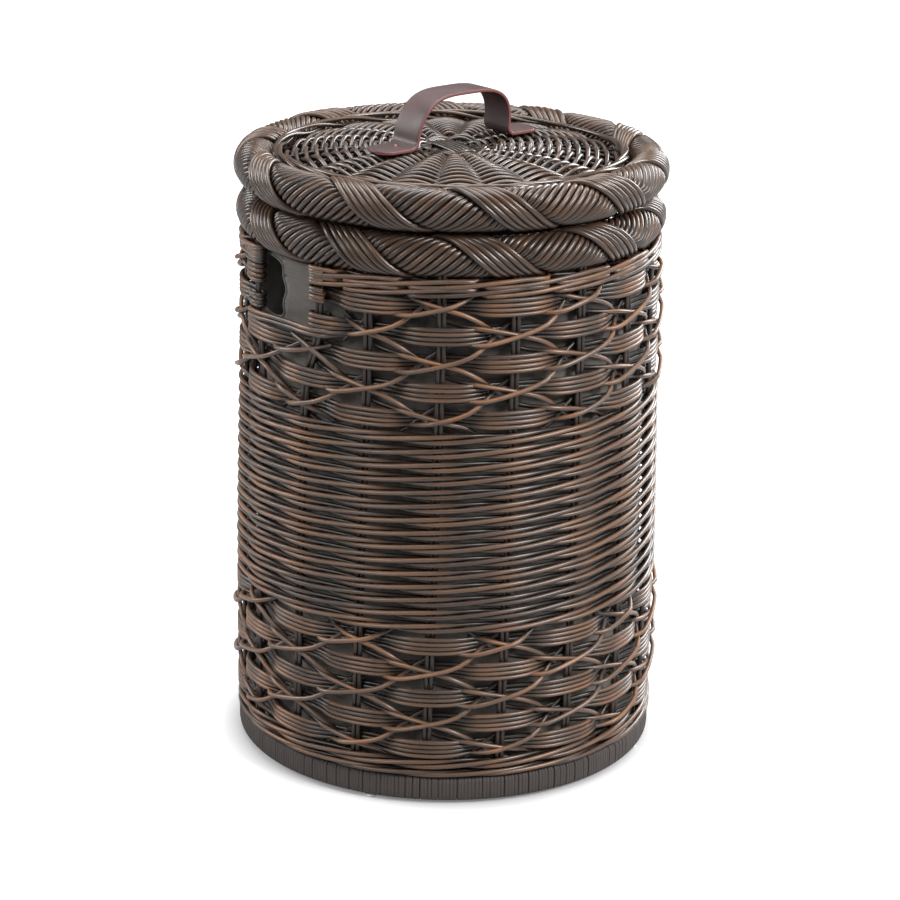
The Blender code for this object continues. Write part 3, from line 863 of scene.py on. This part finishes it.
def border_strands(radius, height, half_width, half_height, band_start, rng):
    """Fillers wound one way round the roll and bands of canes over them the other way."""
    s = sizes()
    lap_from, lap_to, lap_over = -130, 230, 25
    turn = np.linspace(lap_from, lap_to, 34)
    slope, spacing = 0.10, 2.15
    pitch = 360 / s.border_bands
    starts = band_start + pitch * np.arange(s.border_bands) + rng.uniform(-1.5, 1.5, s.border_bands)
    a = np.radians(turn)
    ends = np.minimum(smoothstep((turn - lap_from) / lap_over), smoothstep((lap_to - turn) / lap_over))

    def lay(angle, depth, tint, shadow):
        depth = depth + (1 - ends) * 0.004
        r = radius + (half_width - depth) * np.cos(a)
        z = height + (half_height - depth) * np.sin(a)
        return Strand(round_axis(r, angle, z), False, tint, girth_of(rng, 0.035), shadow)

    out = []
    half_band = 0.5 * s.band_canes * spacing
    for k in range(s.border_fillers):
        angle = 360 * k / s.border_fillers + slope * turn + rng.normal(0, 0.12)
        apart = angle[:, None] - (starts[None, :] - slope * turn[:, None])
        apart = np.abs((apart + 180) % 360 - 180).min(1)
        under = 1 - smoothstep((apart - half_band + 0.5) / 4.0)
        out.append(lay(angle, 0.0038 + 0.0044 * under, shade_of(rng, 0.2, 0.85), 0.12 + 0.7 * under))
    for start in starts:
        for j in range(s.band_canes):
            angle = start + spacing * (j - (s.band_canes - 1) / 2) - slope * turn + rng.normal(0, 0.1)
            out.append(lay(angle, 0.0024 + float(rng.uniform(0, 0.0007)), shade_of(rng, 0.3, 1.0), 0.0))
    return out


def roll_sizes(low, high):
    """Radius of the roll's middle line, its height, and its half width and half height."""
    half_height = (high.z - low.z) / 2
    half_width = half_height * 0.94
    return high.x - half_width, (low.z + high.z) / 2, half_width, half_height


class BASKET_OT_borders(bpy.types.Operator):
    """The rolled borders of the body and of the lid."""

    bl_idname = "basket.borders"
    bl_label = "Rolled borders"

    def execute(self, context):
        cane = sizes().border_cane
        for name, box, body, start, seed in (
            ("body_rim_braid", (BODY_ROLL_LOW, BODY_ROLL_HIGH), "basket", 29, 41),
            ("lid_rim_braid", (LID_ROLL_LOW, LID_ROLL_HIGH), "lid", 31, 42),
        ):
            strands = border_strands(*roll_sizes(*box), start, np.random.default_rng(seed))
            piece_name = name.replace("rim_braid", "border_canes")
            canes(piece_name, strands, cane, "border_cane", body, "woven_cane", [name], sides=7)
        return {"FINISHED"}


# The lid.


def lid_height(r):
    """Height of the middle of the lid's weaving: level inside, falling towards the border."""
    fall = LID_DISC_TOP - 0.0135 * (np.clip(np.asarray(r, float) - LID_LEVEL_RADIUS, 0, None) / 0.0852) ** 2
    return fall - 0.0076


def disc_rounds(first, last, pitch, height, swing, spokes, turn, rng, per_spoke=8):
    """Rounds of plain weave over and under the spokes, the next round the other way about."""
    out = []
    for k, r0 in enumerate(np.arange(first, last, pitch)):
        paired = r0 < 0.045
        steps = np.arange(spokes * per_spoke)
        angle = turn + steps * 360 / len(steps)
        waves = spokes / 4 if paired else spokes / 2
        wave = np.cos(np.radians(waves * (angle - turn)) + math.pi * (k % 2))
        rise = wave * swing * min(1.0, r0 / 0.06)
        r = r0 + wander(rng, len(steps), 0.0006)
        # Painted shade: each round is painted darker where it dips under a spoke.
        depth = np.clip(0.5 - 0.5 * wave, 0, 1) * 0.8
        points = round_axis(r, angle, height(r) + rise)
        out.append(Strand(points, True, shade_of(rng, 0.25, 1.0), girth_of(rng), depth))
    return out


def disc_wale(radius, level, turn, rng, per_spoke=8, lift=0.0024):
    """One round of three-rod wale laid flat: over two spokes and under one, working outwards as it goes."""
    out = []
    for rod in range(3):
        place = np.arange(SPOKES * per_spoke) / per_spoke
        phase = math.tau * (place - rod - 0.5) / 3
        rise = 0.0036 * (0.333 + 1.05 * np.cos(phase) - 0.283 * np.cos(2 * phase))
        seam = np.minimum(1, 12 * (0.5 - 0.5 * np.cos(math.tau * place / SPOKES)))
        rise = rise * seam
        r = radius + lift * np.sin(phase) * seam
        points = round_axis(r, turn + place * 360 / SPOKES, level + rise)
        # Painted shade: the wale's canes are painted darker where they dip under the others.
        out.append(Strand(points, True, shade_of(rng, 0.3, 1.0), 1.08, 0.5 * smoothstep(0.4 - rise / 0.008)))
    return out


def hub_canes(rng):
    """The lid's middle: two groups of five canes that cross, bound by a few close rounds."""
    out, half, cane = [], 0.0330, sizes().lid_cane
    for layer, turn in ((-1, LID_TURN), (1, LID_TURN + 90)):
        along = np.radians(turn)
        way = np.array([math.cos(along), math.sin(along), 0])
        side = np.array([-math.sin(along), math.cos(along), 0])
        for j in range(-2, 3):
            t = np.linspace(-half, half, 10)[:, None]
            z = float(lid_height(0)) + 0.0022 * layer - 0.003 * (t / half) ** 4
            points = way * t + side * (j * cane * 1.03) + np.array([0, 0, 1]) * z
            # Painted shade: the lower group of canes is painted darker than the upper one.
            out.append(Strand(points, False, shade_of(rng, 0.2, 0.8), 1.0, 0.15 if layer > 0 else 0.5))
    for r in (0.0290, 0.0335):
        angle = np.arange(96) * 3.75
        z = lid_height(0) + 0.0034 * np.cos(np.radians(4 * (angle - LID_TURN) + (0 if r < 0.03 else 180)))
        # Painted shade, slight, on the binding rounds.
        out.append(Strand(round_axis(r, angle, z), True, shade_of(rng), 0.95, 0.2))
    return out


def spoke_strand(centre, rng):
    """A cane bent double: out along one spoke, with its bend near the middle of the disc."""
    r = np.linspace(LID_SPOKE_TO, LID_SPOKE_FROM, 26)
    half = 180 / SPOKES
    bend = np.radians(np.linspace(-90, 90, 9)[1:-1])
    legs = []
    for side in (-1, 1):
        legs.append(round_axis(r, centre + side * half, lid_height(r)))
    a, b = legs[0][-1], legs[1][-1]
    mid, across = (a + b) / 2, (b - a) / 2
    inward = -mid * [1, 1, 0] / np.linalg.norm(mid[:2])
    loop = [mid + across * math.sin(t) + inward * np.linalg.norm(across) * math.cos(t) for t in bend]
    points = np.concatenate([legs[0], loop, legs[1][::-1]])
    # Painted shade: the spoke cane carries half the full painted shade.
    return Strand(points, False, shade_of(rng, 0.1, 0.6), 1.0, 0.5)


class BASKET_OT_lid_disc(bpy.types.Operator):
    """The lid's spokes, its rounds of plain weave and the hoop beneath."""

    bl_idname = "basket.lid_disc"
    bl_label = "Lid disc"

    def execute(self, context):
        s = sizes()
        rng = np.random.default_rng(51)
        turn = LID_TURN + 180 / SPOKES
        run = (LID_ROUNDS_FROM, LID_ROUNDS_TO, s.lid_round_pitch)
        rounds = disc_rounds(*run, lid_height, 0.0049, SPOKES, turn, rng)
        edge = disc_wale(LID_EDGE_RADIUS, LID_EDGE_HEIGHT, turn, rng)
        strands = rounds + edge + hub_canes(rng)
        canes("lid_disc_rounds", strands, s.lid_cane, "lid_cane", "lid", "woven_cane", ["lid_weave"])
        for k in range(SPOKES // 2):
            strand = spoke_strand(LID_TURN + 720 / SPOKES * k, rng)
            name, node = f"lid_spoke_cane_{k + 1:02d}", f"lid_spoke_{k + 1:02d}"
            canes(name, [strand], s.lid_cane, "stake_cane", "lid", "dark_cane", [node])
        outer = HOOP_HIGH.x
        profile = rounded_loop(outer - 0.0060, outer, HOOP_LOW.z, HOOP_HIGH.z, 0.0018)
        hoop = turned("locating_hoop_lath", profile, 120)
        settle(hoop, "lid", ["lid_locating_hoop"], "core_wood")
        return {"FINISHED"}


class BASKET_OT_handle(bpy.types.Operator):
    """The leather strap, bent into an arch between two flat tabs, and its two fixings."""

    bl_idname = "basket.handle"
    bl_label = "Strap handle"

    def execute(self, context):
        thick, half_width, leg, tab, bend, lean = 0.0035, 0.0190, 0.0580, 0.1000, 0.0085, 0.0060
        low, top = LID_DISC_TOP + 0.0003 + thick / 2, STRAP_TOP - thick / 2
        a = np.radians(np.linspace(4, 176, 70))
        arch_x = leg * np.sign(np.cos(a)) * np.abs(np.cos(a)) ** 0.54
        arch_z = low + bend + (top - low - bend) * np.sin(a) ** 0.95
        line = [(x, low) for x in np.linspace(tab, leg + 0.0105, 18)]
        t = np.radians(np.linspace(0, 90, 8))[1:]
        line += [(leg + bend * (1 - math.sin(u)), low + bend * (1 - math.cos(u))) for u in t]
        line += [(x, z) for x, z in zip(arch_x, arch_z) if z > low + 0.011]
        line += [(-x, z) for x, z in reversed(line[:25])]
        line = np.array(line)
        line[:, 0] += lean * smoothstep((line[:, 1] - low) / (top - low))
        way = np.gradient(line, axis=0)
        way /= np.linalg.norm(way, axis=1)[:, None]
        run = np.concatenate([[0], np.cumsum(np.linalg.norm(np.diff(line, axis=0), axis=1))])
        from_end = np.minimum(run, run[-1] - run)
        width = half_width * np.sqrt(np.clip(1 - (1 - np.clip(from_end / 0.014, 0.02, 1)) ** 2.4, 0.02, 1))
        section = rounded_loop(-1, 1, -1, 1, 0.5, 4)
        across = np.array([np.sign(x) * (1 - (1 - min(abs(x), 1)) * 0.14) for x, _ in section])
        up = np.array([z for _, z in section]) * thick / 2
        turn = math.radians(STRAP_TURN)
        flat = np.array([math.cos(turn), math.sin(turn), 0])
        side = np.array([-math.sin(turn), math.cos(turn), 0])
        points = []
        for (x, z), (dx, dz), w in zip(line, way, width):
            normal = dz * flat - dx * np.array([0, 0, 1])
            centre = x * flat + z * np.array([0, 0, 1])
            points.append([centre + side * (w * u) + normal * v for u, v in zip(across, up)])
        edge = np.array([1.0 if abs(u) > 0.985 else 0.0 for u in across])[None, :]
        mesh = grid_mesh("strap", points, False, True, True, {"edge": edge})
        strap = new_object("handle_strap_leather", mesh)
        smooth = strap.modifiers.new("soften", "SUBSURF")
        smooth.levels = smooth.render_levels = 1
        settle(strap, "lid", ["handle_strap"], "strap_leather")
        for name in ("handle_rivet_left", "handle_rivet_right"):
            box_low, box_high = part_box(name)
            middle = (box_low + box_high) / 2
            base, head = box_low.z, box_high.z
            profile = [(0.00001, base), (0.0042, base), (0.0043, base + 0.0004), (0.0039, base + 0.0010)]
            profile += [(0.0030, base + 0.0015), (0.0016, head), (0.00001, head + 0.0001)]
            piece = turned(name.replace("rivet", "fixing"), profile, 28, middle)
            settle(piece, "lid", [name], "fixing_metal")
        return {"FINISHED"}


# Foot, base and liner.


class BASKET_OT_foot(bpy.types.Operator):
    """The foot hoop's close winding of flat peel, and the four clear glides under it."""

    bl_idname = "basket.foot"
    bl_label = "Foot"

    def execute(self, context):
        s = sizes()
        outer, low, high = FOOT_HIGH.x, FOOT_LOW.z, FOOT_HIGH.z
        loop = np.array(rounded_loop(outer - 0.016, outer, low, high, 0.0060, 5))
        middle = loop.mean(0)
        half = s.peel_width / 2
        strip = []
        for x, z in loop:
            to = (np.array([x, z]) - middle) / np.linalg.norm(np.array([x, z]) - middle)
            ring = [(-half, -0.0009), (-half, -0.0002), (0, 0.0), (half, -0.0002), (half, -0.0009)]
            strip.append([(x + to[0] * d, w, z + to[1] * d) for w, d in ring])
        wrap = new_object("foot_peel_winding", grid_mesh("wrap", strip, True, True))
        copies = int(math.tau * outer / (s.peel_width * 1.02))
        values = {"Copies": copies, "Unevenness": 0.0030, "Seed": 5, "Finish": finish("foot_peel")}
        through_tree(wrap, repeat_tree(), values)
        settle(wrap, "basket", ["foot_hoop_wrap"])
        for k in range(1, 5):
            name = f"foot_glide_{k}"
            box_low, box_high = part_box(name)
            middle, radius = (box_low + box_high) / 2, (box_high.x - box_low.x) / 2
            profile = [(0.00001, 0.0), (radius - 0.0006, 0.0), (radius, 0.0006)]
            profile += [(radius, box_high.z), (0.00001, box_high.z)]
            piece = turned(f"clear_glide_{k}", profile, 32, middle)
            settle(piece, "basket", [name], "glide_plastic")
        return {"FINISHED"}


class BASKET_OT_base(bpy.types.Operator):
    """The woven base on its crossed bars."""

    bl_idname = "basket.base"
    bl_label = "Base"

    def execute(self, context):
        s = sizes()
        rng = np.random.default_rng(61)
        middle = (BASE_LOW.z + BASE_HIGH.z) / 2

        def level(r):
            return np.full(np.shape(r), middle)

        last = BASE_HIGH.x - s.base_cane
        rounds = disc_rounds(0.014, last, s.base_round_pitch, level, 0.0024, 24, 0, rng, per_spoke=6)
        for k in range(24):
            r = np.linspace(0.012, last, 12)
            # Painted shade: the base's spokes carry half the full painted shade.
            rounds.append(Strand(round_axis(r, 15.0 * k, middle), False, 0.2, 0.9, 0.5))
        where = ["basket", "dark_cane", ["base_weave"]]
        canes("base_rounds", rounds, s.base_cane, "stake_cane", *where, sides=6)
        return {"FINISHED"}


def liner_radius(angle, z):
    """The cloth hangs in slow, shallow waves."""
    top = LINER_HIGH.z
    hang = smoothstep((top - z) / 0.10)
    wave = 0.55 * np.sin(np.radians(11 * angle + 90 * np.sin(6 * z)))
    wave = wave + 0.45 * np.sin(np.radians(17 * angle + 40))
    return LINER_HIGH.x - 0.0018 + 0.0007 * wave * hang


def slot_half_width(dz):
    """Half the slot's width in degrees, at a height above its middle: its sides are a little wavy."""
    return 11.6 * (1 + 0.07 * np.sin(230 * dz + 1.2))


class BASKET_OT_liner(bpy.types.Operator):
    """The cloth liner: a hung side with a bound oval slot at each hole, and a base laid in it."""

    bl_idname = "basket.liner"
    bl_label = "Cloth liner"

    def execute(self, context):
        slot_high, slot_level, square = 0.030, 0.4935, 4.0
        around = 360
        fine_from = slot_level - 1.5 * slot_high
        heights = np.linspace(LINER_LOW.z, fine_from, 34)[:-1]
        heights = np.concatenate([heights, np.linspace(fine_from, LINER_HIGH.z, 27)])
        up = len(heights)
        keep = []
        flat = np.stack(np.meshgrid(np.arange(around) * 360 / around, heights, indexing="ij"), -1)
        for centre in (LINER_TURN, LINER_TURN + 180):
            da = (flat[..., 0] - centre + 180) % 360 - 180
            dz = flat[..., 1] - slot_level
            wide = slot_half_width(dz)
            away = (np.abs(da / wide) ** square + np.abs(dz / slot_high) ** square) ** (1 / square)
            rim = (away >= 1) & (away < 1.13)
            keep.append(away < 1)
            ratio = np.where(rim, 1.0 / np.maximum(away, 1e-6), 1.0)
            flat[..., 0] -= da * (1 - ratio)
            flat[..., 1] -= dz * (1 - ratio)
        gone = keep[0] | keep[1]
        points = round_axis(liner_radius(flat[..., 0], flat[..., 1]), flat[..., 0], flat[..., 1])
        mesh = bpy.data.meshes.new("liner_side_cloth")
        faces = []
        for i in range(around):
            for j in range(up - 1):
                k = (i + 1) % around
                if not (gone[i, j] or gone[k, j] or gone[i, j + 1] or gone[k, j + 1]):
                    faces.append((i * up + j, k * up + j, k * up + j + 1, i * up + j + 1))
        mesh.from_pydata(points.reshape(-1, 3).tolist(), [], faces)
        uv = mesh.uv_layers.new(name="UVMap")
        metre = math.tau * LINER_HIGH.x / 360
        for polygon in mesh.polygons:
            columns = {v // up for v in polygon.vertices}
            wraps = 0 in columns and around - 1 in columns
            for loop, vertex in zip(polygon.loop_indices, polygon.vertices):
                column, height = divmod(vertex, up)
                a = 360.0 if wraps and column == 0 else column * 360 / around
                uv.data[loop].uv = (a * metre, heights[height])
        with edited(mesh) as work:
            bmesh.ops.delete(work, geom=[v for v in work.verts if not v.link_faces], context="VERTS")
        mesh.shade_smooth()
        side = new_object("liner_side_cloth", mesh)
        wall = side.modifiers.new("cloth", "SOLIDIFY")
        wall.thickness, wall.offset = 0.0014, -1
        settle(side, "basket", ["liner_side"], "liner_cotton")
        bindings = []
        for name, centre in (
            ("liner_slot_binding_right", LINER_TURN),
            ("liner_slot_binding_left", LINER_TURN + 180),
        ):
            t = np.radians(np.arange(120) * 3.0)
            dz = slot_high * np.sign(np.sin(t)) * np.abs(np.sin(t)) ** (2 / square)
            wide = slot_half_width(dz)
            a = centre + wide * np.sign(np.cos(t)) * np.abs(np.cos(t)) ** (2 / square)
            z = slot_level + dz
            points = round_axis(liner_radius(a, z) - 0.0004, a, z)
            cord = [Strand(points, True, 0.8)]
            bindings.append(canes(name, cord, 0.0030, "liner_cotton", "basket", "liner_cloth"))
            bindings[-1].data.uv_layers.new(name="UVMap")
        rings = np.linspace(0.00001, LINER_BASE_HIGH.x, 26)
        spots = np.arange(96) * 3.75
        top = LINER_BASE_HIGH.z - 0.0003
        sheet = []
        for r in rings:
            lift = 0.0002 * np.sin(np.radians(spots * 5)) * (r / LINER_BASE_HIGH.x)
            sheet.append(round_axis(r, spots, top - 0.0006 + lift))
        base_mesh = grid_mesh("liner_base_cloth", np.array(sheet), False, True, False)
        with edited(base_mesh) as work:
            bmesh.ops.remove_doubles(work, verts=work.verts, dist=0.00005)
            bmesh.ops.recalc_face_normals(work, faces=work.faces)
            if sum(f.normal.z for f in work.faces) < 0:
                bmesh.ops.reverse_faces(work, faces=work.faces)
            layer = work.loops.layers.uv.new("UVMap")
            for face in work.faces:
                for loop in face.loops:
                    loop[layer].uv = loop.vert.co.xy
        base = new_object("liner_base_cloth", base_mesh)
        under = base.modifiers.new("cloth", "SOLIDIFY")
        under.thickness, under.offset = 0.0010, -1
        settle(base, "basket", ["liner_base"], "liner_cotton")
        return {"FINISHED"}


class BASKET_OT_hidden(bpy.types.Operator):
    """Finishes for the frame's own pieces that stay: cores and base bars."""

    bl_idname = "basket.hidden"
    bl_label = "Cores and bars"

    def execute(self, context):
        for name in ("foot_hoop_core", "body_rim_core", "lid_rim_core", "base_bar_lower", "base_bar_upper"):
            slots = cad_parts[name].data.materials
            if not len(slots):
                slots.append(None)
            for k in range(len(slots)):
                slots[k] = finish("core_wood")
        return {"FINISHED"}


class BASKET_OT_stage(bpy.types.Operator):
    """A plain pale floor, soft studio light and the camera."""

    bl_idname = "basket.stage"
    bl_label = "Stage"

    def execute(self, context):
        scene = bpy.context.scene
        ring = [(6 * math.cos(math.tau * k / 64), 6 * math.sin(math.tau * k / 64), 0) for k in range(64)]
        mesh = bpy.data.meshes.new("floor")
        mesh.from_pydata(ring, [], [tuple(range(64))])
        floor = new_object("floor", mesh)
        mesh.materials.append(finish("stage_floor"))
        world = bpy.data.worlds.new("studio")
        scene.world = world
        world.use_nodes = True
        background = world.node_tree.nodes["Background"]
        background.inputs["Color"].default_value = (1, 1, 1, 1)
        seen = world.node_tree.nodes.new("ShaderNodeLightPath")
        level = world.node_tree.nodes.new("ShaderNodeMapRange")
        level.inputs["To Min"].default_value, level.inputs["To Max"].default_value = 0.17, 1.0
        world.node_tree.links.new(seen.outputs["Is Camera Ray"], level.inputs["Value"])
        world.node_tree.links.new(level.outputs["Result"], background.inputs["Strength"])
        for name, place, size, power in (
            ("top_light", (0.2, 0.3, 2.7), 2.4, 73),
            ("key_light", (0.9, -2.6, 2.3), 1.4, 108),
            ("left_light", (-2.6, -0.2, 2.0), 1.4, 29),
            ("right_light", (2.6, 0.3, 1.3), 1.6, 60),
            ("back_light", (-1.6, 2.4, 1.6), 1.4, 40),
        ):
            lamp = bpy.data.lights.new(name, "AREA")
            lamp.shape, lamp.size, lamp.energy = "DISK", size, power
            obj = bpy.data.objects.new(name, lamp)
            scene.collection.objects.link(obj)
            obj.location = place
            obj.rotation_euler = (Vector((0, 0, 0.35)) - Vector(place)).to_track_quat("-Z", "Y").to_euler()
        camera = bpy.data.cameras.new("camera")
        camera.lens, camera.sensor_width = 112.0, 36.0
        eye = bpy.data.objects.new("camera", camera)
        scene.collection.objects.link(eye)
        scene.camera = eye
        distance, height, bearing = 2.72, 1.2155, math.radians(-38)
        eye.location = (distance * math.sin(bearing), -distance * math.cos(bearing), height)
        pitch, roll = math.radians(90 - 18.66), math.radians(0.91)
        aim = Matrix.Rotation(bearing - math.radians(0.06), 4, "Z")
        aim = aim @ Matrix.Rotation(pitch, 4, "X") @ Matrix.Rotation(roll, 4, "Z")
        eye.rotation_euler = aim.to_euler()
        scene.view_settings.view_transform = "Standard"
        return {"FINISHED"}


OPERATORS = (
    BASKET_OT_foot,
    BASKET_OT_base,
    BASKET_OT_stakes,
    BASKET_OT_wales,
    BASKET_OT_lattice,
    BASKET_OT_borders,
    BASKET_OT_liner,
    BASKET_OT_lid_disc,
    BASKET_OT_handle,
    BASKET_OT_hidden,
    BASKET_OT_stage,
)


class BASKET_PT_panel(bpy.types.Panel):
    """The basket's pieces and its sizes and colours."""

    bl_idname = "BASKET_PT_panel"
    bl_label = "Woven basket"
    bl_space_type = "VIEW_3D"
    bl_region_type = "UI"
    bl_category = "Basket"

    def draw(self, context):
        for operator in OPERATORS:
            self.layout.operator(operator.bl_idname)
        for group in (context.scene.basket_sizes, context.scene.basket_colours):
            box = self.layout.box()
            for name in group.__annotations__:
                box.prop(group, name)


CLASSES = (BasketSizes, BasketColours, *OPERATORS, BASKET_PT_panel)


def register():
    for cls in CLASSES:
        bpy.utils.register_class(cls)
    bpy.types.Scene.basket_sizes = bpy.props.PointerProperty(type=BasketSizes)
    bpy.types.Scene.basket_colours = bpy.props.PointerProperty(type=BasketColours)


def unregister():
    del bpy.types.Scene.basket_colours
    del bpy.types.Scene.basket_sizes
    for cls in reversed(CLASSES):
        bpy.utils.unregister_class(cls)


def main():
    register()
    for operator in OPERATORS:
        group, name = operator.bl_idname.split(".")
        getattr(getattr(bpy.ops, group), name)()
    bpy.context.view_layer.update()


if __name__ == "__main__":
    main()
